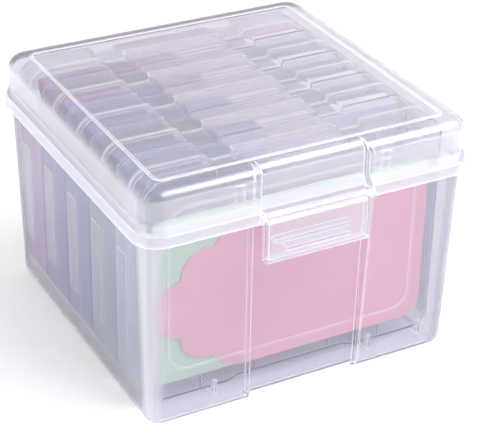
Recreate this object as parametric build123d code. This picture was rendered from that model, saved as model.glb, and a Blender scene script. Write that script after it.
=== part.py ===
"""Clear hinged keeper case that holds a row of upright photo cases.

All sizes are in millimetres.  The origin is the centre of the resting face, +X is to the
right, +Y to the back and +Z up.  Each moulded piece is written to parts/NODE.step.
"""

import os
from math import atan, degrees, hypot, radians, tan

from build123d import *

# ---- Photographs and cards ----
PHOTO_WIDTH = 178.0        # 7 in
PHOTO_HEIGHT = 127.0       # 5 in
PACK_THICKNESS = 17.0
PACK_TRIM = 1.0            # the packs' sheets are cut this much short
PACK_GAP = 1.0             # between the two packs that stand side by side
CARD_HEIGHT = 96.0         # scalloped card
CARD_THICKNESS = 0.8
CARD_CORNER = 13.0
SHEET_HEIGHT = 107.0       # plain sheet behind the scalloped card
SHEET_THICKNESS = 0.5
SHEET_CORNER = 6.0
CARD_CLEARANCE = 0.3
END_LOBE_REACH = 17.0      # scalloped end: end lobe, then a shoulder and a top lobe each way
END_LOBE_HALF = 18.5
SHOULDER_REACH = 20.5
SHOULDER_RISE = 17.0
SHOULDER_BULGE = 7.0
TOP_LOBE_REACH = 18.5
TOP_LOBE_BULGE = 3.4

# ---- Inner photo cases ----
CASE_COUNT = 5
CASE_GAP = 1.0
CASE_DEPTH = 34.6
COVER_DEPTH = 17.3
CASE_WALL = 1.2
CASE_CORNER = 12.0
PHOTO_SIDE_ROOM = 5.3
PHOTO_TOP_ROOM = 0.4
CARD_SEAT = 9.4            # top of the card rests above the case's lowest point
REST_HALF_SPACINGS = (25.0, 60.0)
FINGER_DIP = 4.0           # the two dips in the top edge
DIP_INNER_HALF = 33.0
DIP_WIDTH = 16.0
FOOT_INNER_HALF = 42.0     # between the feet the underside is raised
FOOT_SLOPE = 6.0
FOOT_RISE = 2.5
FOOT_BEND = 3.0
BEND = 1.0                 # corner radius of the dips
CASE_EDGE = 0.6            # rounding of the faces' edges
SNAP_DROP = 1.5            # the tray's top is lowered under the cover's tongue
TONGUE_LENGTH = 3.0
TONGUE_SIDE_GAP = 0.4
HOOK_HALF_SPACING = 17.0
HOOK_WIDTH = 10.0
HOOK_THICKNESS = 1.0
HOOK_CLEARANCE = 0.3
LIP_THICKNESS = 0.9
LIP_LENGTH = 2.5
LIP_CLEARANCE = 0.15
LIVING_HINGE_WIDTH = 4.0
LIVING_HINGE_THICKNESS = 0.5
FRAME_INSET_X = 15.0       # raised outline on the cover's face
FRAME_INSET_Z = 17.5
FRAME_CORNER = 13.0
FRAME_WIDTH = 1.4
FRAME_HEIGHT = 0.5
PAD_WIDTH = 12.0           # raised pad on each end of a tray
PAD_BOTTOM = 24.0
PAD_TOP = 89.0
PAD_HEIGHT = 0.6

# ---- Box ----
BODY_WALL = 2.0
BODY_DRAFT = 1.45          # degrees
BODY_CORNER = 9.0          # vertical corners at the base
BASE_FILLET = 6.0
FLOOR_THICKNESS = 2.0
RAIL_HEIGHT = 4.0
RAIL_WIDTH = 2.0
RAIL_HALF_SPACINGS = (52.0, 88.0)
STOP_HEIGHT = 6.0          # of the rails' upturned ends
STOP_GAP = 0.5
SIDE_ROOM = 0.8
FRONT_ROOM = 13.2
BACK_ROOM = 3.0
FLANGE_REACH = 1.5
FLANGE_HEIGHT = 2.5
RECESS_DEPTH = 4.25        # stepped-in middle of the front
RECESS_SLANT = 3.0
LID_RECESS_HALF = 36.0

# ---- Lid ----
LID_HEIGHT = 26.0          # from the box's rim to the lid's flat top
LID_WALL = 2.0
LID_FIT = 0.3              # between the box's flange and the lid's skirt
SKIRT_DEPTH = 6.0
FLARE_INSET = 2.8
FLARE_HEIGHT = 7.4
HEAD_ROOM = 3.0            # over the inner cases
TOP_FILLET = 8.0
FLARE_FILLET = 2.5
RIDGE_MARGIN = 15.0        # from the lid's wall to the stacking ridge
RIDGE_WIDTH = 1.5
RIDGE_HEIGHT = 0.6
RIDGE_CORNER = 5.0
STIFFENER_GAP = 7.5        # from the recess to the stiffening rib inside the lid's front
STIFFENER_WIDTH = 5.0
STIFFENER_HEIGHT = 1.2

# ---- Rear hinge ----
HINGE_HALF_SPACING = 60.0
HINGE_STANDOFF = 3.0       # from the lid's rim to the hinge axis
HINGE_DROP = 2.7           # from the bottom of the skirt to the hinge axis
HINGE_PIN_R = 1.75
PIN_CLEARANCE = 0.08
EAR_R = 3.4
EAR_THICKNESS = 4.0
EAR_SHOULDER = 1.2         # top of the ear's web above the hinge axis
EAR_FOOT = 9.0             # root of the ear's web below the hinge axis
KNUCKLE_WIDTH = 20.0
KNUCKLE_GAP = 0.5
CLIP_SLOT = 3.0            # mouth of the C-shaped knuckle
CLIP_SLOT_ANGLE = 45.0     # from straight down, towards the back
ARM_REACH = 1.0
ARM_HEIGHT = 4.0

# ---- Latch ----
LATCH_WIDTH = 66.0
LATCH_LENGTH = 27.0        # below its axis
LATCH_STANDOFF = 4.25      # from the lid's stepped-in rim to the latch axis
LATCH_RISE = 3.0           # from the bottom of the skirt to the latch axis
LATCH_BARREL_R = 3.1
LATCH_WALL = 1.6
LATCH_DEPTH = 5.5
LATCH_EDGE = 1.2
LATCH_PIN_R = 1.5
LATCH_PIN_LENGTH = 1.8
LATCH_SIDE_GAP = 0.3
LATCH_EAR_R = 3.0
LATCH_EAR_THICKNESS = 2.4
CATCH_WIDTH = 48.0
CATCH_HEIGHT = 2.5
CATCH_DROP = 20.0          # from the latch axis to the catch's underside
CATCH_REACH = 4.6
LATCH_HOOK_WIDTH = 40.0
LATCH_HOOK_THICKNESS = 1.9
LATCH_HOOK_REACH = 7.5
LATCH_HOOK_GAP = 0.3

# ---- Sizes that follow ----
case_half_x = PHOTO_WIDTH / 2 + PHOTO_SIDE_ROOM + CASE_WALL
case_height = CARD_SEAT + PHOTO_HEIGHT + PHOTO_TOP_ROOM + CASE_WALL + FINGER_DIP
case_pitch = CASE_DEPTH + CASE_GAP
stack_length = CASE_COUNT * case_pitch - CASE_GAP
stack_front = (FRONT_ROOM - BACK_ROOM - stack_length) / 2
seat_z = FLOOR_THICKNESS + RAIL_HEIGHT
lid_top = seat_z + case_height + HEAD_ROOM + LID_WALL
body_height = lid_top - LID_HEIGHT

base_half_x = case_half_x + PAD_HEIGHT + SIDE_ROOM + BODY_WALL
base_half_y = (stack_length + FRONT_ROOM + BACK_ROOM) / 2 + BODY_WALL
draft = tan(radians(BODY_DRAFT))
draft_growth = body_height * draft
rim_half_x = base_half_x + draft_growth
rim_half_y = base_half_y + draft_growth
rim_corner = BODY_CORNER + draft_growth

skirt_offset = FLANGE_REACH + LID_FIT + LID_WALL
skirt_half_x = rim_half_x + skirt_offset
skirt_half_y = rim_half_y + skirt_offset
skirt_corner = rim_corner + skirt_offset
skirt_bottom = body_height - SKIRT_DEPTH
body_recess_half = LID_RECESS_HALF + LID_WALL + LID_FIT
recess_rim_y = -skirt_half_y + RECESS_DEPTH

hinge_y = skirt_half_y + HINGE_STANDOFF
hinge_z = skirt_bottom - HINGE_DROP
latch_y = recess_rim_y - LATCH_STANDOFF
latch_z = skirt_bottom + LATCH_RISE
catch_z = latch_z - CATCH_DROP


# ---- Shared shapes ----
def box_between(low, high):
    """Box from one corner to the opposite one."""
    size = [b - a for a, b in zip(low, high)]
    return Pos(*low) * Box(*size, align=(Align.MIN, Align.MIN, Align.MIN))


def rounded_block(half_x, half_y, corner, bottom, top, taper=0.0):
    """Upright block with rounded vertical corners; a negative taper widens it upward."""
    section = RectangleRounded(2 * half_x, 2 * half_y, corner)
    return Pos(0, 0, bottom) * extrude(section, amount=top - bottom, taper=taper)


def bar_along_x(radius, x_from, x_to, y, z):
    """Round bar along X."""
    bar = Cylinder(radius, x_to - x_from, rotation=(0, 90, 0))
    return Pos((x_from + x_to) / 2, y, z) * bar


def upright_slab(outline, y_from, y_to):
    """Slab whose face, drawn in X and Z, looks to the front."""
    return Pos(0, y_from, 0) * extrude(Plane.XZ * outline, amount=y_from - y_to)


def mirrored(points):
    """Closed outline from its right half, listed from the bottom to the top."""
    return points + [(-x, z) for x, z in reversed(points)]


def step_in_front(block, front_y, half_width, reach):
    """Set the middle of a block's front back by the recess depth, with slanted sides."""
    narrow = half_width - RECESS_SLANT
    deep = front_y + RECESS_DEPTH
    right = [(half_width, front_y - RECESS_DEPTH), (half_width, front_y), (narrow, deep),
             (narrow, deep + reach)]
    limits = block.bounding_box()
    outline = make_face(Polyline(*mirrored(right), close=True))
    zone = Pos(0, 0, limits.min.Z - 1) * extrude(outline, amount=limits.size.Z + 2)
    return (block - zone) + (Pos(0, RECESS_DEPTH, 0) * block & zone)


# ---- Box ----
def wall_y(z):
    """Half depth of the box's drafted outer wall at a height."""
    return base_half_y + z * draft


def body_shape(inset, bottom, edge_radius):
    """Drafted solid of the box, inset from its outer faces."""
    growth = bottom * draft - inset
    block = rounded_block(base_half_x + growth, base_half_y + growth, BODY_CORNER + growth,
                          bottom, body_height, taper=-BODY_DRAFT)
    block = fillet(block.edges().group_by(Axis.Z)[0], edge_radius)
    return step_in_front(block, -rim_half_y + inset, body_recess_half + inset,
                         BASE_FILLET + draft_growth)


def body_flange():
    """Outward flange round the top of the box, under the lid."""
    ring = rounded_block(rim_half_x + FLANGE_REACH, rim_half_y + FLANGE_REACH,
                         rim_corner + FLANGE_REACH, body_height - FLANGE_HEIGHT, body_height)
    return step_in_front(ring, -rim_half_y - FLANGE_REACH, body_recess_half, BASE_FILLET)


def floor_rails():
    """Rails that carry the inner cases, with upturned ends at the front."""
    front = stack_front - FRAME_HEIGHT - STOP_GAP - RAIL_WIDTH
    rails = []
    for spacing in RAIL_HALF_SPACINGS:
        for x in (-spacing, spacing):
            low_x, high_x = x - RAIL_WIDTH / 2, x + RAIL_WIDTH / 2
            rails.append(box_between((low_x, front, FLOOR_THICKNESS / 2),
                                     (high_x, stack_front + stack_length, seat_z)))
            rails.append(box_between((low_x, front, FLOOR_THICKNESS / 2),
                                     (high_x, front + RAIL_WIDTH, seat_z + STOP_HEIGHT)))
    return rails


def hinge_ears():
    """Rear ears in pairs, each pair with a pin moulded across it."""
    root_y = wall_y(hinge_z) - BODY_WALL / 2
    inner = KNUCKLE_WIDTH / 2 + KNUCKLE_GAP
    outer = inner + EAR_THICKNESS
    pieces = []
    for centre in (-HINGE_HALF_SPACING, HINGE_HALF_SPACING):
        for low_x, high_x in ((centre - outer, centre - inner), (centre + inner, centre + outer)):
            web = Polyline((root_y, hinge_z + EAR_SHOULDER), (hinge_y, hinge_z + EAR_SHOULDER),
                           (hinge_y, hinge_z - EAR_R), (root_y, hinge_z - EAR_FOOT), close=True)
            pieces.append(Pos(low_x, 0, 0) * extrude(Plane.YZ * make_face(web),
                                                     amount=EAR_THICKNESS))
            pieces.append(bar_along_x(EAR_R, low_x, high_x, hinge_y, hinge_z))
        pieces.append(bar_along_x(HINGE_PIN_R, centre - inner, centre + inner, hinge_y, hinge_z))
    return pieces


def catch_lip():
    """Lip on the stepped-in front that the latch's hook holds."""
    face_y = -wall_y(catch_z) + RECESS_DEPTH
    return box_between((-CATCH_WIDTH / 2, face_y - CATCH_REACH, catch_z),
                       (CATCH_WIDTH / 2, face_y + BODY_WALL / 2, catch_z + CATCH_HEIGHT))


def case_body():
    """The open box."""
    cavity = body_shape(BODY_WALL, FLOOR_THICKNESS, BASE_FILLET - BODY_WALL)
    body = body_shape(0, 0, BASE_FILLET) + body_flange() - cavity
    return body + floor_rails() + hinge_ears() + catch_lip()


# ---- Lid ----
def at_height(part, z):
    """Edges of a part that lie at one height."""
    return part.edges().filter_by(lambda edge: edge.bounding_box().size.Z < 1e-4
                                  and abs(edge.center().Z - z) < 1e-4)


def lid_outer():
    """Skirt, flare and domed top as one solid."""
    dome_x, dome_y = skirt_half_x - FLARE_INSET, skirt_half_y - FLARE_INSET
    slope = degrees(atan(FLARE_INSET / FLARE_HEIGHT))
    flare_top = body_height + FLARE_HEIGHT
    skirt = rounded_block(skirt_half_x, skirt_half_y, skirt_corner, skirt_bottom, body_height)
    flare = rounded_block(skirt_half_x, skirt_half_y, skirt_corner, body_height, flare_top, slope)
    dome = rounded_block(dome_x, dome_y, skirt_corner - FLARE_INSET, flare_top, lid_top)
    outer = skirt + flare + dome
    outer = fillet(at_height(outer, lid_top), TOP_FILLET)
    outer = fillet(at_height(outer, body_height), FLARE_FILLET)
    outer = fillet(at_height(outer, flare_top), FLARE_FILLET)
    return step_in_front(outer, -skirt_half_y, LID_RECESS_HALF, FLARE_INSET + TOP_FILLET)


def lid_cavity():
    """Hollow of the lid: the skirt's over the box rim, and the dome's above it."""
    skirt_x, skirt_y = skirt_half_x - LID_WALL, skirt_half_y - LID_WALL
    dome_x, dome_y = skirt_x - FLARE_INSET, skirt_y - FLARE_INSET
    half = LID_RECESS_HALF + LID_WALL
    skirt = rounded_block(skirt_x, skirt_y, skirt_corner - LID_WALL, skirt_bottom, body_height)
    dome = rounded_block(dome_x, dome_y, skirt_corner - LID_WALL - FLARE_INSET, skirt_bottom,
                         lid_top - LID_WALL)
    dome = fillet(at_height(dome, lid_top - LID_WALL), TOP_FILLET - LID_WALL)
    return (step_in_front(skirt, -skirt_y, half, TOP_FILLET)
            + step_in_front(dome, -dome_y, half, TOP_FILLET))


def stacking_ridge():
    """Low rectangular ridge on top that keys a second keeper stacked on this one."""
    half_x, half_y = skirt_half_x - RIDGE_MARGIN, skirt_half_y - RIDGE_MARGIN
    bottom, top = lid_top - LID_WALL / 2, lid_top + RIDGE_HEIGHT
    return (rounded_block(half_x, half_y, RIDGE_CORNER, bottom, top)
            - rounded_block(half_x - RIDGE_WIDTH, half_y - RIDGE_WIDTH,
                            RIDGE_CORNER - RIDGE_WIDTH, bottom, top))


def lid_stiffeners():
    """Short upright ribs inside the lid's front wall, beside the recess."""
    face_y = -(skirt_half_y - FLARE_INSET - LID_WALL)
    near = LID_RECESS_HALF + STIFFENER_GAP
    top = lid_top - TOP_FILLET
    ribs = []
    for x in (-near - STIFFENER_WIDTH, near):
        ribs.append(box_between((x, face_y - LID_WALL / 2, body_height),
                                (x + STIFFENER_WIDTH, face_y + STIFFENER_HEIGHT, top)))
    return ribs


def clip_knuckle(centre):
    """C-shaped knuckle that clips onto one hinge pin."""
    low_x, high_x = centre - KNUCKLE_WIDTH / 2, centre + KNUCKLE_WIDTH / 2
    arm = box_between((low_x, skirt_half_y - LID_WALL / 2, skirt_bottom),
                      (high_x, hinge_y + ARM_REACH, skirt_bottom + ARM_HEIGHT))
    neck = box_between((low_x, skirt_half_y, hinge_z), (high_x, hinge_y + ARM_REACH, skirt_bottom))
    knuckle = arm + neck + bar_along_x(EAR_R, low_x, high_x, hinge_y, hinge_z)
    knuckle -= bar_along_x(HINGE_PIN_R + PIN_CLEARANCE, low_x, high_x, hinge_y, hinge_z)
    mouth = Box(KNUCKLE_WIDTH, CLIP_SLOT, EAR_R + LID_WALL,
                align=(Align.CENTER, Align.CENTER, Align.MAX))
    return knuckle - Pos(centre, hinge_y, hinge_z) * Rot(CLIP_SLOT_ANGLE, 0, 0) * mouth


def latch_ears():
    """Ears in the lid's recess that hold the latch's pins."""
    inner = LATCH_WIDTH / 2 + LATCH_SIDE_GAP
    ears = []
    for low_x in (inner, -inner - LATCH_EAR_THICKNESS):
        high_x = low_x + LATCH_EAR_THICKNESS
        ear = box_between((low_x, latch_y, skirt_bottom),
                          (high_x, recess_rim_y + LID_WALL / 2, latch_z + LATCH_EAR_R))
        ear += bar_along_x(LATCH_EAR_R, low_x, high_x, latch_y, latch_z)
        ears.append(ear)
    return ears


def case_lid():
    """The hinged lid."""
    lid = lid_outer() - lid_cavity()
    lid = lid + stacking_ridge() + lid_stiffeners() + latch_ears()
    reach = LATCH_WIDTH / 2 + LATCH_SIDE_GAP + LATCH_EAR_THICKNESS
    lid -= bar_along_x(LATCH_PIN_R + PIN_CLEARANCE, -reach, reach, latch_y, latch_z)
    for centre in (-HINGE_HALF_SPACING, HINGE_HALF_SPACING):
        lid += clip_knuckle(centre)
    return lid


# ---- Latch ----
def latch_flap():
    """Box-edged flap with a rounded top bar, two stub pins and a hook."""
    half = LATCH_WIDTH / 2
    face_y = latch_y - LATCH_BARREL_R
    back_y = face_y + LATCH_DEPTH
    low_z, bar_z = latch_z - LATCH_LENGTH, latch_z - LATCH_BARREL_R
    top = ThreePointArc((face_y, latch_z), (latch_y, latch_z + LATCH_BARREL_R),
                        (latch_y + LATCH_BARREL_R, latch_z))
    sides = Polyline((latch_y + LATCH_BARREL_R, latch_z), (back_y, bar_z), (back_y, low_z),
                     (face_y, low_z), (face_y, latch_z))
    flap = Pos(-half, 0, 0) * extrude(Plane.YZ * make_face([top, sides]), amount=LATCH_WIDTH)
    flap = fillet(flap.edges().filter_by(Axis.Z).group_by(Axis.Y)[0], LATCH_EDGE)
    flap -= box_between((-half + LATCH_WALL, face_y + LATCH_WALL, low_z + LATCH_WALL),
                        (half - LATCH_WALL, back_y, bar_z))
    pin = half + LATCH_SIDE_GAP + LATCH_PIN_LENGTH
    for x_from, x_to in ((-pin, -half), (half, pin)):
        flap += bar_along_x(LATCH_PIN_R, x_from, x_to, latch_y, latch_z)
    hook_top = catch_z - LATCH_HOOK_GAP
    hook_low = (-LATCH_HOOK_WIDTH / 2, face_y + LATCH_WALL / 2, hook_top - LATCH_HOOK_THICKNESS)
    hook_high = (LATCH_HOOK_WIDTH / 2, face_y + LATCH_WALL + LATCH_HOOK_REACH, hook_top)
    return flap + box_between(hook_low, hook_high)


# ---- Inner photo cases, front face at Y = 0 and lowest point at Z = 0 ----
def case_outline(inset, drop=0.0):
    """Front outline with raised middle of the underside and two finger dips in the top."""
    right, top = case_half_x - inset, case_height - inset
    foot = FOOT_INNER_HALF + inset / 2
    dip_z = top - FINGER_DIP
    dip_near, dip_far = DIP_INNER_HALF - inset, DIP_INNER_HALF + DIP_WIDTH + inset
    half = [(foot - FOOT_SLOPE, FOOT_RISE + inset), (foot, inset), (right, inset), (right, top),
            (dip_far, top), (dip_far, dip_z), (dip_near, dip_z), (dip_near, top - drop)]
    corner = CASE_CORNER - inset
    radii = [FOOT_BEND, FOOT_BEND, corner, corner, BEND, BEND, BEND, BEND]
    return make_face(FilletPolyline(*mirrored(half), radius=radii + radii[::-1], close=True))


def face_frame():
    """Raised outline on the cover's face."""
    width = 2 * (case_half_x - FRAME_INSET_X)
    height = case_height - 2 * FRAME_INSET_Z
    ring = (RectangleRounded(width, height, FRAME_CORNER)
            - RectangleRounded(width - 2 * FRAME_WIDTH, height - 2 * FRAME_WIDTH,
                               FRAME_CORNER - FRAME_WIDTH))
    return Pos(0, 0, case_height / 2) * upright_slab(ring, -FRAME_HEIGHT, 0)


def card_rests():
    """Ribs on the cover's floor that cards stand on."""
    back = COVER_DEPTH - LIP_LENGTH - CARD_CLEARANCE
    ribs = []
    for spacing, floor in zip(REST_HALF_SPACINGS, (FOOT_RISE, 0.0)):
        for x in (-spacing, spacing):
            ribs.append(box_between((x - CASE_WALL / 2, CASE_WALL / 2, floor + CASE_WALL / 2),
                                    (x + CASE_WALL / 2, back, CARD_SEAT)))
    return ribs


def hook_boxes(clearance):
    """The snap's two hooks, or with a clearance the windows that they enter."""
    back = COVER_DEPTH + TONGUE_LENGTH
    low_z = case_height - SNAP_DROP - CASE_WALL
    boxes = []
    for x in (-HOOK_HALF_SPACING, HOOK_HALF_SPACING):
        half = HOOK_WIDTH / 2 + clearance
        boxes.append(box_between((x - half, back - HOOK_THICKNESS - clearance, low_z - clearance),
                                 (x + half, back + clearance, case_height - CASE_WALL / 2)))
    return boxes


def case_cover():
    """Front half of an inner case."""
    cover = upright_slab(case_outline(0), 0, COVER_DEPTH)
    cover = fillet(cover.edges().group_by(Axis.Y)[0], CASE_EDGE)
    cover -= upright_slab(case_outline(CASE_WALL), CASE_WALL, COVER_DEPTH)
    half = DIP_INNER_HALF - TONGUE_SIDE_GAP
    tongue = box_between((-half, COVER_DEPTH - CASE_WALL, case_height - CASE_WALL),
                         (half, COVER_DEPTH + TONGUE_LENGTH, case_height))
    return cover + tongue + hook_boxes(0) + face_frame() + card_rests()


def case_tray():
    """Back half of an inner case."""
    tray = upright_slab(case_outline(0, SNAP_DROP), COVER_DEPTH, CASE_DEPTH)
    tray = fillet(tray.edges().group_by(Axis.Y)[-1], CASE_EDGE)
    tray -= upright_slab(case_outline(CASE_WALL, SNAP_DROP), COVER_DEPTH, CASE_DEPTH - CASE_WALL)
    lip_outer = CASE_WALL + LIP_CLEARANCE
    lip_inner = lip_outer + LIP_THICKNESS
    lip = (upright_slab(case_outline(lip_outer, SNAP_DROP), COVER_DEPTH - LIP_LENGTH, COVER_DEPTH)
           + upright_slab(case_outline(CASE_WALL / 2, SNAP_DROP), COVER_DEPTH,
                          COVER_DEPTH + LIP_LENGTH)
           - upright_slab(case_outline(lip_inner, SNAP_DROP), COVER_DEPTH - LIP_LENGTH,
                          COVER_DEPTH + LIP_LENGTH))
    tray = tray + lip - hook_boxes(HOOK_CLEARANCE)
    hinge_half = FOOT_INNER_HALF - FOOT_SLOPE - FOOT_BEND
    tray += box_between((-hinge_half, COVER_DEPTH - LIVING_HINGE_WIDTH / 2,
                         FOOT_RISE - LIVING_HINGE_THICKNESS),
                        (hinge_half, COVER_DEPTH + LIVING_HINGE_WIDTH / 2, FOOT_RISE))
    middle = (COVER_DEPTH + CASE_DEPTH) / 2
    return tray + box_between((-case_half_x - PAD_HEIGHT, middle - PAD_WIDTH / 2, PAD_BOTTOM),
                              (-case_half_x + CASE_WALL / 2, middle + PAD_WIDTH / 2, PAD_TOP)) \
        + box_between((case_half_x - CASE_WALL / 2, middle - PAD_WIDTH / 2, PAD_BOTTOM),
                      (case_half_x + PAD_HEIGHT, middle + PAD_WIDTH / 2, PAD_TOP))


# ---- Cards ----
def lobe(start, end, bulge):
    """Arc from one notch to the next, bulging to the left of its chord."""
    run, rise = end[0] - start[0], end[1] - start[1]
    length = hypot(run, rise)
    middle = ((start[0] + end[0]) / 2 - rise / length * bulge,
              (start[1] + end[1]) / 2 + run / length * bulge)
    return ThreePointArc(start, middle, end)


def scalloped_card():
    """Card with one scalloped end and two rounded corners at the other."""
    left, middle = -PHOTO_WIDTH / 2, CARD_HEIGHT / 2
    notch_x = left + END_LOBE_REACH
    shoulder_x = notch_x + SHOULDER_REACH
    top_x = shoulder_x + TOP_LOBE_REACH
    edges = [ThreePointArc((notch_x, middle - END_LOBE_HALF), (left, middle),
                           (notch_x, middle + END_LOBE_HALF)),
             Line((top_x, CARD_HEIGHT), (-left, CARD_HEIGHT)),
             Line((-left, CARD_HEIGHT), (-left, 0)), Line((-left, 0), (top_x, 0))]
    for way in (1, -1):
        notch = (notch_x, middle + way * END_LOBE_HALF)
        shoulder = (shoulder_x, middle + way * (END_LOBE_HALF + SHOULDER_RISE))
        corner = (top_x, middle + way * CARD_HEIGHT / 2)
        edges.append(lobe(notch, shoulder, way * SHOULDER_BULGE))
        edges.append(lobe(shoulder, corner, way * TOP_LOBE_BULGE))
    outline = make_face(edges)
    outline = fillet(outline.vertices().group_by(Axis.X)[-1], CARD_CORNER)
    return Pos(0, 0, CARD_SEAT) * upright_slab(outline, 0, CARD_THICKNESS)


def plain_sheet():
    """Plain sheet that stands behind the scalloped card."""
    outline = RectangleRounded(PHOTO_WIDTH, SHEET_HEIGHT, SHEET_CORNER)
    return Pos(0, 0, CARD_SEAT + SHEET_HEIGHT / 2) * upright_slab(outline, 0, SHEET_THICKNESS)


def photo_pack(side):
    """Pack of cards that fills one half of an inner case; side is -1 for left, 1 for right."""
    inner, outer = side * PACK_GAP / 2, side * PHOTO_WIDTH / 2
    return box_between((min(inner, outer), 0, CARD_SEAT),
                       (max(inner, outer), PACK_THICKNESS, CARD_SEAT + PHOTO_HEIGHT - PACK_TRIM))


def inner_case_pieces(number):
    """Named pieces of one inner case, in the keeper's frame."""
    cover_face = CASE_WALL + CARD_CLEARANCE
    pieces = {f"inner_case_{number}_cover": case_cover(), f"inner_case_{number}_tray": case_tray()}
    if number == 1:
        behind = cover_face + CARD_THICKNESS + CARD_CLEARANCE
        pieces["pink_scalloped_card"] = Pos(0, cover_face, 0) * scalloped_card()
        pieces["green_card"] = Pos(0, behind, 0) * plain_sheet()
    else:
        pieces[f"case_{number}_left_pack"] = Pos(0, cover_face, 0) * photo_pack(-1)
        pieces[f"case_{number}_right_pack"] = Pos(0, cover_face, 0) * photo_pack(1)
    place = Pos(0, stack_front + (number - 1) * case_pitch, seat_z)
    return {name: place * piece for name, piece in pieces.items()}


def main():
    """Build every piece and write its STEP file."""
    pieces = {"case_body": case_body(), "case_lid": case_lid(), "latch_flap": latch_flap()}
    for number in range(1, CASE_COUNT + 1):
        pieces.update(inner_case_pieces(number))
    os.makedirs("parts", exist_ok=True)
    for name, piece in pieces.items():
        export_step(piece, f"parts/{name}.step")


if __name__ == "__main__":
    main()
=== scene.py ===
"""Looks of a clear photo keeper: a hinged box that holds five slim cases of cards and photographs."""

import logging
import math
import random
from dataclasses import dataclass, replace
from enum import Enum

import bmesh
import bpy
from mathutils import Matrix, Vector


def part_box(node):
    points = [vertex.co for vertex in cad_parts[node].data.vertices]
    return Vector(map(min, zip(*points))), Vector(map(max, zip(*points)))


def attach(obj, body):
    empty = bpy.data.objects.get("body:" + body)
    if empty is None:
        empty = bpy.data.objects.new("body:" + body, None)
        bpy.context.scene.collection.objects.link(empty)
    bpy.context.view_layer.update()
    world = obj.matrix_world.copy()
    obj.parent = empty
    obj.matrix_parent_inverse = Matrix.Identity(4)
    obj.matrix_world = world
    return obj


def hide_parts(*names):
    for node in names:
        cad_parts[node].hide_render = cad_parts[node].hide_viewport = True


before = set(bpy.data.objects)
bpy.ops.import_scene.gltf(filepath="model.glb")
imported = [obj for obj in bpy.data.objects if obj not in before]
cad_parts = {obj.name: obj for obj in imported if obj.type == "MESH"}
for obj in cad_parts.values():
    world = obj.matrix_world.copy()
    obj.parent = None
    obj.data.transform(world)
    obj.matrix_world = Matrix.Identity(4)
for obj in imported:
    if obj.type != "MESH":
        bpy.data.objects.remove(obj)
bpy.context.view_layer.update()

MM = 0.001
FAR = 1.0                       # past the end of any piece
WHITE = (1.0, 1.0, 1.0)
TONE_LAYER = "tone"             # colour layer that holds each sheet's own colour
# A sheet's six faces, by the numbers of its corners.
SHEET_FACES = ((0, 2, 3, 1), (4, 5, 7, 6), (0, 1, 5, 4), (2, 6, 7, 3), (0, 4, 6, 2), (1, 3, 7, 5))
Colour = tuple[float, float, float]
Point = tuple[float, float, float]
Socket = bpy.types.NodeSocket
Value = float | Colour | Socket

log = logging.getLogger("photo_keeper")


# ---- Shader graphs ----
class Axis(Enum):
    """The axes of a piece, by the names of their sockets."""

    X = "X"
    Y = "Y"
    Z = "Z"


class Sum(Enum):
    """The sums that the finishes need, by the names of their operations."""

    PRODUCT = "MULTIPLY"
    DIFFERENCE = "SUBTRACT"
    LARGER = "MAXIMUM"


@dataclass(frozen=True)
class Span:
    """Stretch of one axis, in metres, with soft ends."""

    axis: Axis
    low: float = -FAR
    high: float = FAR
    soft: float = 1.0 * MM


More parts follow.
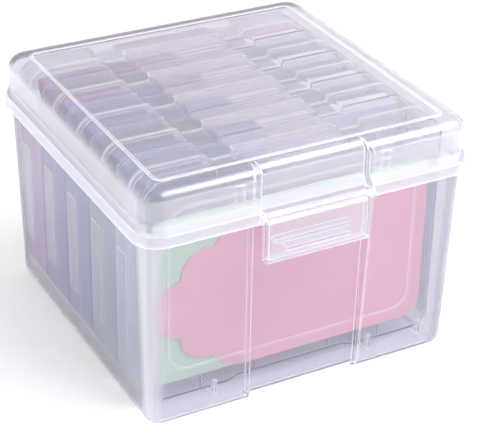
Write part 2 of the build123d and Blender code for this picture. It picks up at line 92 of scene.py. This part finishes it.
class Graph:
    """A node tree, with short calls that add and join its nodes."""

    colour_sockets = (0, 6, 7)      # a Mix node's factor and its two colours
    colour_result = 2               # a Mix node's mixed colour
    noise_range = (0.3, 0.7)        # holds nearly all of a noise's values

    def __init__(self, owner: bpy.types.Material | bpy.types.World) -> None:
        """Start an empty tree.

        Args:
            owner: The new material or world that the tree belongs to.
        """
        self.owner = owner
        owner.use_nodes = True
        self.tree = owner.node_tree
        self.tree.nodes.clear()

    def add(self, kind: str, settings: dict[str, str | int] | None = None,
            **inputs: Value) -> bpy.types.Node:
        """Add one node.

        Args:
            kind: The node's type without its "ShaderNode" prefix.
            settings: Properties of the node itself.
            **inputs: Values or output sockets for its inputs; an underscore stands for a space.

        Returns:
            The new node.
        """
        node = self.tree.nodes.new("ShaderNode" + kind)
        for key, value in (settings or {}).items():
            setattr(node, key, value)
        for key, value in inputs.items():
            self.put(node.inputs[key.replace("_", " ")], value)
        return node

    def put(self, socket: Socket, value: Value) -> None:
        """Give a socket a value, or join it to an output.

        Args:
            socket: The input to set.
            value: A number, a colour or another node's output.
        """
        if isinstance(value, Socket):
            self.tree.links.new(value, socket)
        elif socket.type == "RGBA":
            socket.default_value = (*value, 1.0)
        else:
            socket.default_value = value

    def place(self) -> Socket:
        """Find a point's place on its piece.

        Returns:
            The place in metres.
        """
        return self.add("TexCoord").outputs["Object"]

    def noise(self, size: float, detail: float = 3.0, roughness: float = 0.5) -> Socket:
        """Soft noise with blotches of about a given size.

        Args:
            size: Size of a blotch in metres.
            detail: Number of finer octaves.
            roughness: Strength of the finer octaves.

        Returns:
            The noise's value, about 0.5 in the middle.
        """
        node = self.add("TexNoise", Vector=self.place(), Scale=1 / size, Detail=detail,
                        Roughness=roughness)
        return node.outputs["Fac"]

    def spread(self, value: Socket, low: Value, high: Value, start: float = 0.0,
               end: float = 1.0) -> Socket:
        """Map a value from one range to another.

        Args:
            value: The value's output.
            low: Result at the range's start.
            high: Result at the range's end.
            start: Where the range starts.
            end: Where the range ends.

        Returns:
            The mapped value.
        """
        names = ("Value", "From Min", "From Max", "To Min", "To Max")
        node = self.add("MapRange")
        for name, number in zip(names, (value, start, end, low, high)):
            self.put(node.inputs[name], number)
        return node.outputs["Result"]

    def spread_noise(self, noise: Socket, low: float, high: float) -> Socket:
        """Stretch a noise over a range.

        Args:
            noise: The noise's value.
            low: Result where it is weak.
            high: Result where it is strong.

        Returns:
            The mapped value.
        """
        return self.spread(noise, low, high, *self.noise_range)

    def work_out(self, kind: Sum, first: Value, second: Value) -> Socket:
        """Work out a sum of two values.

        Args:
            kind: Which sum.
            first: A number or an output.
            second: The other.

        Returns:
            The result.
        """
        node = self.add("Math", {"operation": kind.value})
        self.put(node.inputs[0], first)
        self.put(node.inputs[1], second)
        return node.outputs[0]

    def blend(self, factor: Socket, first: Value, second: Value) -> Socket:
        """Mix two colours.

        Args:
            factor: Share of the second colour.
            first: First colour or its output.
            second: Second colour or its output.

        Returns:
            The mixed colour.
        """
        node = self.add("Mix", {"data_type": "RGBA"})
        for number, value in zip(self.colour_sockets, (factor, first, second)):
            self.put(node.inputs[number], value)
        return node.outputs[self.colour_result]

    def join(self, factor: Socket, first: Socket, second: Socket) -> Socket:
        """Mix two shaders.

        Args:
            factor: Share of the second shader.
            first: The first shader's output.
            second: The second shader's output.

        Returns:
            The mixed shader.
        """
        node = self.add("MixShader")
        for socket, value in zip(node.inputs, (factor, first, second)):
            self.put(socket, value)
        return node.outputs[0]

    def bump(self, height: Socket, depth: float, normal: Socket | None = None) -> Socket:
        """Relief from a height.

        Args:
            height: Output of the height, from 0 to 1.
            depth: Height of the relief in metres.
            normal: Normal under it, if any.

        Returns:
            The bent normal.
        """
        node = self.add("Bump", Height=height, Distance=depth, Strength=1.0)
        if normal is not None:
            self.put(node.inputs["Normal"], normal)
        return node.outputs["Normal"]

    def edges(self, reach: float) -> Socket:
        """Mask that is 0 on smooth surfaces and rises along edges and in corners.

        Args:
            reach: How far from an edge it rises, in metres.

        Returns:
            The mask's value.
        """
        rounded = self.add("Bevel", {"samples": 4}, Radius=reach).outputs["Normal"]
        flat = self.add("NewGeometry").outputs["Normal"]
        match = self.add("VectorMath", {"operation": "DOT_PRODUCT"})
        self.put(match.inputs[0], rounded)
        self.put(match.inputs[1], flat)
        return self.work_out(Sum.DIFFERENCE, 1.0, match.outputs["Value"])

    def within(self, span: Span) -> Socket:
        """Mask of a stretch of one axis of the piece.

        Args:
            span: The stretch.

        Returns:
            1 inside it and 0 outside.
        """
        along = self.add("SeparateXYZ", Vector=self.place()).outputs[span.axis.value]
        rise = self.spread(along, 0.0, 1.0, span.low - span.soft, span.low + span.soft)
        fall = self.spread(along, 1.0, 0.0, span.high - span.soft, span.high + span.soft)
        return self.work_out(Sum.PRODUCT, rise, fall)

    def let_lamps_through(self, surface: Socket, tint: Colour) -> Socket:
        """Let the light of the lamps pass a clear surface.

        Args:
            surface: The shader that the eye sees.
            tint: What one surface leaves of the light.

        Returns:
            The shader with both.
        """
        clear = self.add("BsdfTransparent", Color=tint)
        shadow = self.add("LightPath").outputs["Is Shadow Ray"]
        return self.join(shadow, surface, clear.outputs[0])

    def background_ray(self) -> Socket:
        """Tell the rays that show the background.

        Returns:
            1 for rays that show it directly, mirrored or through something clear.
        """
        path = self.add("LightPath")
        seen = path.outputs["Is Camera Ray"]
        for name in ("Is Glossy Ray", "Is Transmission Ray"):
            seen = self.work_out(Sum.LARGER, seen, path.outputs[name])
        return seen

    def finish(self, surface: Socket,
               output: str = "OutputMaterial") -> bpy.types.Material | bpy.types.World:
        """Join the surface to the output.

        Args:
            surface: The shader's output.
            output: Type of the output node.

        Returns:
            The tree's finished owner.
        """
        self.add(output, Surface=surface)
        return self.owner


# ---- Finishes ----
@dataclass(frozen=True)
class Zone:
    """Part of a moulding, between limits on some axes, with its own milkiness and haze; several zones
    carry painted light and painted shade.
    """

    milk: float
    haze: Colour
    spans: tuple[Span, ...]

    def mask(self, graph: Graph) -> Socket:
        """Find the zone on the surface.

        Args:
            graph: The material being built.

        Returns:
            1 inside the zone and 0 outside.
        """
        mask, *others = [graph.within(span) for span in self.spans]
        for other in others:
            mask = graph.work_out(Sum.PRODUCT, mask, other)
        return mask


@dataclass(frozen=True)
class MouldedPlastic:
    """Clear polypropylene: faintly milky and glossy, with a painted highlight and a painted glow
    along its edges and ribs.
    """

    name: str
    tint: Colour = (0.90, 0.895, 0.92)
    haze: Colour = (0.74, 0.72, 0.79)
    # painted highlight: along edges and ribs the wall turns milky white and glows a little
    edge_highlight_colour: Colour = (0.93, 0.92, 0.97)
    milk: float = 0.075
    edge_highlight_share: float = 0.85
    painted_edge_glow: float = 0.3
    edge_reach: float = 1.3 * MM
    edge_onset: tuple[float, float] = (0.02, 0.15)
    zones: tuple[Zone, ...] = ()
    gloss: tuple[float, float] = (0.004, 0.02)
    milky_roughness: float = 0.3
    coat: float = 1.0
    coat_ior: float = 1.5
    coat_roughness: float = 0.10
    lamp_tint: Colour = (0.93, 0.93, 0.95)
    ripple: float = 0.004 * MM
    ripple_size: float = 30 * MM
    grain: float = 0.002 * MM
    grain_size: float = 1.5 * MM
    ior: float = 1.12

    def milk_and_haze(self, graph: Graph) -> tuple[Value, Value]:
        """Lay the zones over the plain wall, the later ones over the earlier.

        Args:
            graph: The material being built.

        Returns:
            How milky the wall is, and the colour of its haze.
        """
        milk, haze = self.milk, self.haze
        for zone in self.zones:
            mask = zone.mask(graph)
            milk = graph.spread(mask, milk, zone.milk)
            haze = graph.blend(mask, haze, zone.haze)
        return milk, haze

    def material(self) -> bpy.types.Material:
        """Build the material.

        Returns:
            The new material.
        """
        graph = Graph(bpy.data.materials.new(self.name))
        cloud = graph.noise(self.ripple_size)
        grain = graph.noise(self.grain_size, detail=2.0)
        normal = graph.bump(grain, self.grain, graph.bump(cloud, self.ripple))
        edge = graph.spread(graph.edges(self.edge_reach), 0.0, 1.0, *self.edge_onset)
        skin = {"Normal": normal, "Coat_Weight": self.coat, "Coat_IOR": self.coat_ior,
                "Coat_Roughness": self.coat_roughness}
        clear = graph.add("BsdfPrincipled", Base_Color=self.tint, IOR=self.ior,
                          Roughness=graph.spread_noise(cloud, *self.gloss),
                          Transmission_Weight=1.0, **skin)
        milk, haze = self.milk_and_haze(graph)
        # the edge mask lays the painted highlight and the painted glow on edges and ribs
        milky = graph.add("BsdfPrincipled", Base_Color=graph.blend(edge, haze, self.edge_highlight_colour),
                          Roughness=self.milky_roughness, Emission_Color=self.edge_highlight_colour,
                          Emission_Strength=graph.spread(edge, 0.0, self.painted_edge_glow), **skin)
        surface = graph.join(graph.spread(edge, milk, self.edge_highlight_share), clear.outputs["BSDF"],
                             milky.outputs["BSDF"])
        return graph.finish(graph.let_lamps_through(surface, self.lamp_tint))


@dataclass(frozen=True)
class CardStock:
    """Coloured card with a fine fibrous surface."""

    name: str
    colour: Colour
    mottle: float = 0.04
    mottle_size: float = 18 * MM
    fibre: float = 0.03 * MM
    fibre_size: float = 0.7 * MM
    roughness: tuple[float, float] = (0.55, 0.8)

    def material(self) -> bpy.types.Material:
        """Build the material.

        Returns:
            The new material.
        """
        graph = Graph(bpy.data.materials.new(self.name))
        pulp = graph.noise(self.fibre_size, detail=5.0, roughness=0.7)
        cloud = graph.spread_noise(graph.noise(self.mottle_size), 0.0, 1.0)
        shade = tuple(part * (1 - self.mottle) for part in self.colour)
        shader = graph.add("BsdfPrincipled", Base_Color=graph.blend(cloud, self.colour, shade),
                           Normal=graph.bump(pulp, self.fibre),
                           Roughness=graph.spread_noise(pulp, *self.roughness))
        return graph.finish(shader.outputs["BSDF"])


@dataclass(frozen=True)
class SheetEdges:
    """A pack of sheets whose colour changes from sheet to sheet."""

    name: str = "sheet_pack"
    fleck: float = 0.12
    fleck_size: float = 0.8 * MM
    roughness: tuple[float, float] = (0.35, 0.6)

    def material(self) -> bpy.types.Material:
        """Build the material.

        Returns:
            The new material.
        """
        graph = Graph(bpy.data.materials.new(self.name))
        tone = graph.add("VertexColor", {"layer_name": TONE_LAYER}).outputs["Color"]
        pulp = graph.noise(self.fleck_size, detail=4.0)
        fleck = graph.spread_noise(pulp, 0.0, self.fleck)
        shader = graph.add("BsdfPrincipled", Base_Color=graph.blend(fleck, tone, WHITE),
                           Roughness=graph.spread_noise(pulp, *self.roughness))
        return graph.finish(shader.outputs["BSDF"])


# ---- The keeper's parts ----
def dress(node: str, material: bpy.types.Material) -> None:
    """Put a material on every slot of a carried-over node.

    Args:
        node: The node's name.
        material: The finish.
    """
    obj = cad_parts[node]
    obj.data.materials.clear()
    obj.data.materials.append(material)
    log.info("%s: %s", node, material.name)


@dataclass
class OuterCase:
    """The box, its hinged lid and the latch flap."""

    box: MouldedPlastic = MouldedPlastic(
        "clear_box_plastic", tint=(0.81, 0.795, 0.83), milk=0.10, haze=(0.60, 0.59, 0.77),
        coat_roughness=0.3)
    lid: MouldedPlastic = MouldedPlastic(
        "clear_lid_plastic", tint=(0.845, 0.825, 0.865), milk=0.07, coat_roughness=0.35)
    latch: MouldedPlastic = MouldedPlastic("clear_latch_plastic", milk=0.25)
    # painted light and shade on the upright corners: lighter at the left front, darker at the right
    # front and the back
    painted_light_front_left: Colour = (0.80, 0.80, 0.87)
    painted_shade_front_right: Colour = (0.52, 0.51, 0.62)
    painted_shade_rear_corners: Colour = (0.34, 0.27, 0.42)
    # painted shade: the box's sides are darker and bluer than its front
    painted_shade_sides: Colour = (0.20, 0.19, 0.36)
    painted_side_milk: float = 0.08
    side_depth: float = 7.7 * MM        # from the rim's edge to just inside the wall's foot
    corner_milk: float = 0.5
    corner_size: float = 11 * MM
    corner_fade: float = 4 * MM
    front_lean: float = 4 * MM          # about how far the wall's foot stands in from the rim
    rear_reach: float = 12 * MM         # about the same at the back, with the hinge's lugs
    skirt_milk: float = 0.32
    skirt_haze: Colour = (0.82, 0.81, 0.88)
    skirt_depths: tuple[float, float] = (34.6 * MM, 19.6 * MM)      # below the lid's ridge
    # the lid's upright wall: milkier, and paler as a painted highlight
    dome_milk_and_highlight: float = 0.25
    dome_haze_and_highlight: Colour = (0.93, 0.93, 0.98)
    dome_depths: tuple[float, float] = (19.6 * MM, 6.6 * MM)        # below the lid's ridge
    # painted shade: a dark band along the back of the lid's top
    painted_margin_milk: float = 0.75
    painted_shade_margin: Colour = (0.13, 0.105, 0.17)
    margin_depth: float = 5.6 * MM      # below the lid's ridge
    margin_reach: float = 22.5 * MM     # forward from the back of the lid's hinge

    def box_zones(self) -> tuple[Zone, ...]:
        """Find the box's sides, darkened as painted shade, and its upright corners, which are
        milkier: lighter at the left front as painted light, darker at the right front and the back as
        painted shade.

        Returns:
            A zone for each.
        """
        low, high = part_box("case_body")
        wall = high[0] - self.side_depth
        # painted shade on both sides of the box
        sides = tuple(Zone(self.painted_side_milk, self.painted_shade_sides, (Span(Axis.X, *reach),))
                      for reach in ((-FAR, -wall), (wall, FAR)))
        fade = self.corner_fade
        front = Span(Axis.Y, -FAR, low[1] + self.corner_size + self.front_lean, fade)
        rear = Span(Axis.Y, high[1] - self.corner_size - self.rear_reach, FAR, fade)
        left = Span(Axis.X, -FAR, low[0] + self.corner_size, fade)
        right = Span(Axis.X, high[0] - self.corner_size, FAR, fade)
        # painted light at the left front corner, painted shade at the other three
        corners = ((front, left, self.painted_light_front_left), (front, right, self.painted_shade_front_right),
                   (rear, left, self.painted_shade_rear_corners), (rear, right, self.painted_shade_rear_corners))
        return sides + tuple(Zone(self.corner_milk, haze, (end, side))
                             for end, side, haze in corners)

    def lid_zones(self) -> tuple[Zone, ...]:
        """Find the lid's milky skirt, its dome, which is milkier and paler as a painted highlight,
        and the margin behind its top, darkened as painted shade.

        Returns:
            A zone for each.
        """
        _, back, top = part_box("case_lid")[1]
        # the dome is paler as a painted highlight
        skirt, dome = [Span(Axis.Z, *(top - depth for depth in depths))
                       for depths in (self.skirt_depths, self.dome_depths)]
        # painted shade along the back of the lid's top
        margin = (Span(Axis.Y, back - self.margin_reach), Span(Axis.Z, top - self.margin_depth))
        return (Zone(self.skirt_milk, self.skirt_haze, (skirt,)),
                Zone(self.dome_milk_and_highlight, self.dome_haze_and_highlight, (dome,)),
                Zone(self.painted_margin_milk, self.painted_shade_margin, margin))

    def build(self) -> None:
        """Dress the box, the lid and the flap."""
        dress("case_body", replace(self.box, zones=self.box_zones()).material())
        dress("case_lid", replace(self.lid, zones=self.lid_zones()).material())
        dress("latch_flap", self.latch.material())


@dataclass
class SheetPack:
    """A pack of loose sheets standing in one half of an inner case."""

    node: str
    body: str
    slot: str
    colours: tuple[Colour, ...]
    rear: Colour
    seed: int
    rear_sheets: int = 6
    pitch: float = 0.34 * MM
    thickness: float = 0.33 * MM
    side_play: float = 0.35 * MM
    cut_play: float = 0.25 * MM
    lift: float = 0.05 * MM             # of the sheets' feet off the floor of their space

    def build(self, material: bpy.types.Material) -> None:
        """Build the sheets in the space of their node.

        Args:
            material: Finish that reads each sheet's tone.
        """
        low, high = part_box(self.node)
        name = self.node + "_sheets"
        draw = random.Random(self.seed)
        mesh = bmesh.new()
        tone = mesh.loops.layers.float_color.new(TONE_LAYER)
        count = int((high[1] - low[1]) / self.pitch)
        for number in range(count):
            front = low[1] + number * self.pitch
            left = low[0] + draw.uniform(0, self.side_play)
            right = high[0] - draw.uniform(0, self.side_play)
            top = high[2] - draw.uniform(0, self.cut_play)
            colour = draw.choice(self.colours)
            if number >= count - self.rear_sheets:
                colour = self.rear
            self.sheet(mesh, tone, (left, front, low[2] + self.lift),
                       (right, front + self.thickness, top), colour)
        data = bpy.data.meshes.new(name)
        mesh.to_mesh(data)
        mesh.free()
        data.materials.append(material)
        piece = bpy.data.objects.new(name, data)
        bpy.context.scene.collection.objects.link(piece)
        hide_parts(self.node)
        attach(piece, self.body)
        log.info("%s: %d sheets", name, count)

    @staticmethod
    def sheet(mesh: bmesh.types.BMesh, tone: bmesh.types.BMLayerItem, low: Point, high: Point,
              colour: Colour) -> None:
        """Add one sheet.

        Args:
            mesh: The mesh being built.
            tone: Its colour layer.
            low: Lowest corner.
            high: Highest corner.
            colour: The sheet's colour.
        """
        corners = [mesh.verts.new((x, y, z)) for z in (low[2], high[2])
                   for y in (low[1], high[1]) for x in (low[0], high[0])]
        for loop in SHEET_FACES:
            face = mesh.faces.new([corners[number] for number in loop])
            for corner in face.loops:
                corner[tone] = (*colour, 1.0)


@dataclass(frozen=True)
class Filling:
    """Colours of the two packs of cards in one inner case."""

    slot: str
    left: Colour
    left_rear: Colour
    right_rear: Colour


@dataclass
class InnerCases:
    """Five slim snap-shut cases with what they hold."""

    plastic: MouldedPlastic = MouldedPlastic("clear_case_plastic", milk=0.05, coat=0.0, ior=1.2,
                                             edge_reach=0.6 * MM)
    # painted coloured light: each case's lower sides take the colour that its contents cast on them
    painted_bounce: tuple[Colour, ...] = ((0.62, 0.70, 0.78), (0.40, 0.50, 0.60), (0.22, 0.31, 0.62),
                                 (0.22, 0.18, 0.58), (0.38, 0.12, 0.46))
    painted_side_milk: float = 0.50
    corner_drop: float = 24 * MM
    side_fade: float = 5 * MM
    label_half: float = 32 * MM
    label_milk: float = 0.24
    label_haze: Colour = (0.50, 0.47, 0.54)
    dip_half: tuple[float, float] = (34 * MM, 48 * MM)
    dip_inset: float = 4 * MM
    # painted shade in the finger dips of each case's top
    painted_dip_milk: float = 0.30
    painted_dip_shade: Colour = (0.22, 0.20, 0.27)
    top_depth: float = 7 * MM
    pad_half: float = 6 * MM
    pad_rise: tuple[float, float] = (24 * MM, 89 * MM)
    pad_milk: float = 0.40
    pad_haze: Colour = (0.74, 0.75, 0.88)
    wall_depth: float = 1.5 * MM        # from the cover's outside to just inside its wall
    tongue: float = 3 * MM              # reach of the cover's tongue over the tray
    pink: CardStock = CardStock("pink_card_stock", (1.0, 0.46, 0.56))
    green: CardStock = CardStock("green_card_stock", (0.58, 0.86, 0.58))
    first_filled: int = 2               # the front case holds the two single cards
    fillings: tuple[Filling, ...] = (
        Filling("teal_cards", (0.02, 0.10, 0.30), (0.02, 0.05, 0.10), (0.20, 0.24, 0.32)),
        Filling("indigo_cards", (0.02, 0.04, 0.34), (0.02, 0.02, 0.10), (0.16, 0.17, 0.24)),
        Filling("violet_cards", (0.08, 0.01, 0.32), (0.55, 0.005, 0.24), (0.18, 0.14, 0.22)),
        Filling("plum_cards", (0.24, 0.005, 0.22), (0.10, 0.02, 0.12), (0.55, 0.16, 0.32)))
    stray: Colour = (0.09, 0.07, 0.22)
    pale: tuple[Colour, ...] = ((0.64, 0.62, 0.67), (0.72, 0.70, 0.74), (0.57, 0.57, 0.62))
    right_seed: int = 10                # added to a case's number for its right pack

    def zones(self, number: int, painted_bounce: Colour) -> tuple[Zone, ...]:
        """Find the hazy parts of one case: its sides, tinted as painted light by what it holds, its
        top's middle, its dips, darkened as painted shade, and its pads.

        Args:
            number: Which case.
            painted_bounce: Colour that its contents lend to its sides.

        Returns:
            The zones, the later ones over the earlier.
        """
        cover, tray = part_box(f"inner_case_{number}_cover"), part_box(f"inner_case_{number}_tray")
        wall = cover[1][0] - self.wall_depth
        middle = (cover[1][1] - self.tongue + tray[1][1]) / 2
        top = Span(Axis.Z, cover[1][2] - self.top_depth)
        near, far = self.dip_half
        dip = Span(Axis.Y, cover[0][1] + self.dip_inset, cover[1][1] - self.dip_inset)
        base = tray[0][2]
        pads = (Span(Axis.Y, middle - self.pad_half, middle + self.pad_half),
                Span(Axis.Z, base + self.pad_rise[0], base + self.pad_rise[1]))
        below = Span(Axis.Z, -FAR, cover[1][2] - self.corner_drop, self.side_fade)
        # the sides take painted coloured light from what the case holds
        return (Zone(self.painted_side_milk, painted_bounce, (below, Span(Axis.X, -FAR, -wall))),
                Zone(self.painted_side_milk, painted_bounce, (below, Span(Axis.X, wall))),
                Zone(self.label_milk, self.label_haze,
                     (top, Span(Axis.X, -self.label_half, self.label_half))),
                # the dips are darkened as painted shade
                Zone(self.painted_dip_milk, self.painted_dip_shade, (top, dip, Span(Axis.X, -far, -near))),
                Zone(self.painted_dip_milk, self.painted_dip_shade, (top, dip, Span(Axis.X, near, far))),
                Zone(self.pad_milk, self.pad_haze, pads))

    def fill(self, number: int, filling: Filling, edges: bpy.types.Material) -> None:
        """Stand the two packs of cards in a case.

        Args:
            number: Which case.
            filling: Colours of its packs.
            edges: Finish of the sheets.
        """
        body = f"inner_case_{number}"
        left = (filling.left, filling.left, self.stray)
        SheetPack(f"case_{number}_left_pack", body, filling.slot, left, filling.left_rear,
                  number).build(edges)
        SheetPack(f"case_{number}_right_pack", body, "pale_cards", self.pale,
                  filling.right_rear, self.right_seed + number).build(edges)

    def build(self) -> None:
        """Dress the cases and fill them."""
        for number, painted_bounce in enumerate(self.painted_bounce, 1):
            finish = replace(self.plastic, name=f"{self.plastic.name}_{number}",
                             zones=self.zones(number, painted_bounce))
            plastic = finish.material()
            dress(f"inner_case_{number}_cover", plastic)
            dress(f"inner_case_{number}_tray", plastic)
        dress("pink_scalloped_card", self.pink.material())
        dress("green_card", self.green.material())
        edges = SheetEdges().material()
        for number, filling in enumerate(self.fillings, self.first_filled):
            self.fill(number, filling, edges)


# ---- Studio ----
@dataclass(frozen=True)
class SoftBox:
    """An area lamp: its place and size in metres and its power in watts."""

    name: str
    place: Point
    width: float
    height: float
    power: float
    gloss_only: bool = False            # true if it only shows as a highlight

    def build(self, aim: Point) -> None:
        """Hang the lamp.

        Args:
            aim: The point that it shines at.
        """
        data = bpy.data.lights.new(self.name, "AREA")
        data.shape = "RECTANGLE"
        data.size, data.size_y, data.energy = self.width, self.height, self.power
        lamp = bpy.data.objects.new(self.name, data)
        lamp.location = self.place
        lamp.visible_diffuse = lamp.visible_transmission = not self.gloss_only
        way = Vector(aim) - Vector(self.place)
        lamp.rotation_euler = way.to_track_quat("-Z", "Y").to_euler()
        bpy.context.scene.collection.objects.link(lamp)


@dataclass
class Studio:
    """Pale floor, soft light and the camera."""

    lamps: tuple[SoftBox, ...] = (
        SoftBox("key", (0.55, -0.50, 1.10), 0.6, 0.6, 10.5),
        SoftBox("sheen", (0.5, -0.48, 0.98), 1.2, 0.6, 15.0, gloss_only=True),
        SoftBox("rim_sheen", (0.49, -1.09, 0.19), 1.2, 0.10, 4.0, gloss_only=True),
        SoftBox("back", (-1.0, 0.6, 0.35), 0.5, 0.4, 2.0),
        SoftBox("left", (-1.1, -0.3, 0.7), 0.6, 0.6, 3.0))
    bounces: int = 32
    ambient: float = 0.75               # the world's strength as light; the eye sees 1
    floor_half: float = 4.0
    floor_gap: float = 0.2 * MM
    floor_colour: Colour = (0.85, 0.85, 0.85)
    floor_lift: float = 0.18            # brightens the floor to the eye alone
    azimuth: float = math.radians(-28.18)
    height_angle: float = math.radians(29.41)
    roll: float = math.radians(0.926)
    distance: float = 0.9878
    aim: Point = (0.0, 0.0, 0.0707)
    lens: float = 121.575               # of a sensor 36 mm wide, both in millimetres
    sensor: float = 36.0
    shift: tuple[float, float] = (0.02434, -0.02274)
    nearest: float = 10 * MM

    def build(self) -> None:
        """Set up everything around the object."""
        self.colour_management()
        self.world()
        self.floor()
        for lamp in self.lamps:
            lamp.build(self.aim)
        self.camera()

    def colour_management(self) -> None:
        """Show colours as they are written, and let light pass the many clear walls."""
        scene = bpy.context.scene
        scene.view_settings.view_transform = "Standard"
        scene.cycles.max_bounces = self.bounces
        scene.cycles.transmission_bounces = self.bounces
        scene.cycles.transparent_max_bounces = self.bounces

    def world(self) -> None:
        """Make surroundings that are white to the eye and softer as light."""
        graph = Graph(bpy.data.worlds.new("studio"))
        strength = graph.spread(graph.background_ray(), self.ambient, 1.0)
        sky = graph.add("Background", Color=WHITE, Strength=strength)
        bpy.context.scene.world = graph.finish(sky.outputs["Background"], "OutputWorld")

    def floor(self) -> None:
        """Lay a pale floor that keeps the object's shadow."""
        graph = Graph(bpy.data.materials.new("pale_floor"))
        base = graph.add("BsdfDiffuse", Color=self.floor_colour)
        lift = graph.add("Emission", Color=WHITE,
                         Strength=graph.spread(graph.background_ray(), 0.0, self.floor_lift))
        both = graph.add("AddShader")
        graph.put(both.inputs[0], base.outputs[0])
        graph.put(both.inputs[1], lift.outputs[0])
        mesh = bpy.data.meshes.new("floor")
        half = self.floor_half
        mesh.from_pydata([(-half, -half, 0), (half, -half, 0), (half, half, 0), (-half, half, 0)],
                         [], [(0, 1, 2, 3)])
        mesh.materials.append(graph.finish(both.outputs[0]))
        floor = bpy.data.objects.new("floor", mesh)
        floor.location.z = -self.floor_gap
        bpy.context.scene.collection.objects.link(floor)

    def camera(self) -> None:
        """Add the camera."""
        a, e, r = self.azimuth, self.height_angle, self.roll
        back = Vector((math.sin(a) * math.cos(e), -math.cos(a) * math.cos(e), math.sin(e)))
        right = Vector((math.cos(a), math.sin(a), 0.0))
        up = back.cross(right)
        side = math.cos(r) * right + math.sin(r) * up
        top = -math.sin(r) * right + math.cos(r) * up
        data = bpy.data.cameras.new("camera")
        data.lens = self.lens
        data.sensor_width = self.sensor
        data.shift_x, data.shift_y = self.shift
        data.clip_start = self.nearest
        camera = bpy.data.objects.new("camera", data)
        turn = Matrix((side, top, back)).transposed().to_4x4()
        camera.matrix_world = Matrix.Translation(Vector(self.aim) + self.distance * back) @ turn
        bpy.context.scene.collection.objects.link(camera)
        bpy.context.scene.camera = camera


def main() -> None:
    """Build the keeper's looks and the studio."""
    OuterCase().build()
    InnerCases().build()
    Studio().build()


if __name__ == "__main__":
    logging.basicConfig(level=logging.INFO, format="%(name)s: %(message)s")
    main()
